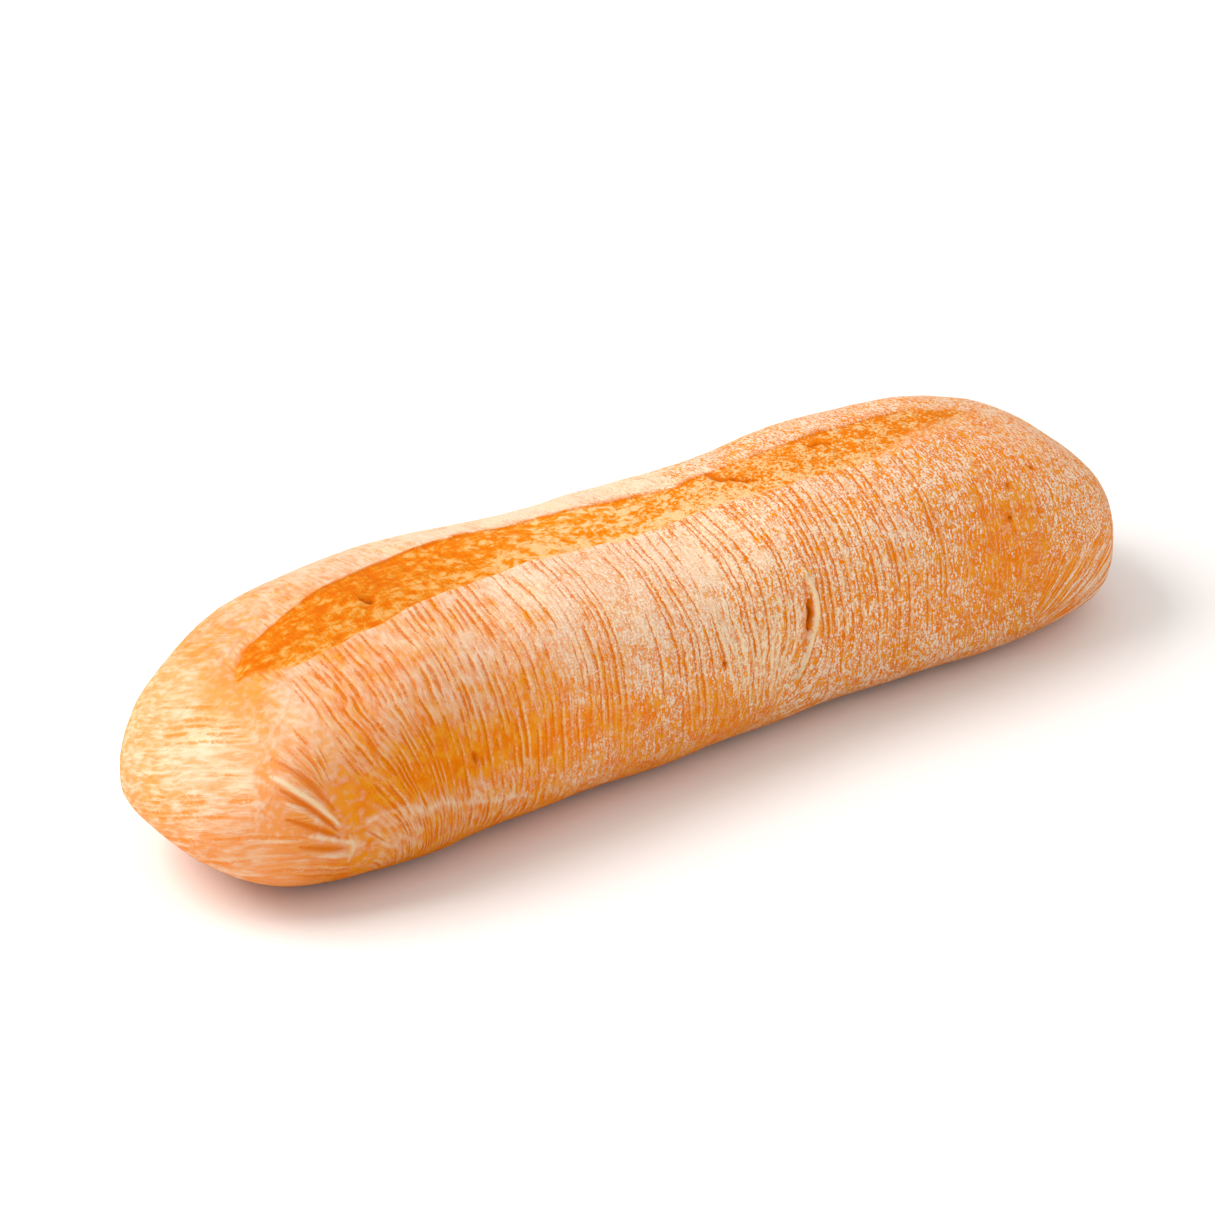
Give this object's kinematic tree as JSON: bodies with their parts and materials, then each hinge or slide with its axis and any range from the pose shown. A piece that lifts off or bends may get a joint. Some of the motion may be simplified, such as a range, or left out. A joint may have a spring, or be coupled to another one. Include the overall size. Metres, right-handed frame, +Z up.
{
  "type": "baguette",
  "caption": "Short rustic loaf of floured crust, uncut, with lengthwise slashes opened along its crown and a flat underside to lie on.",
  "frame": {"origin": "centre of the loaf's outline on the surface it lies on", "axes": "+X along the loaf, from the blunt end with the pinched dough to the slim end; +Z up through the slashed crown; -Y is the flank that the picture shows"},
  "size_m": [0.3, 0.0884, 0.0641],
  "materials": {
    "crust": "matte, floured and finely cracked bread crust, golden brown"
  },
  "bodies": {
    "root": {"loaf": "crust"}
  },
  "joints": []
}
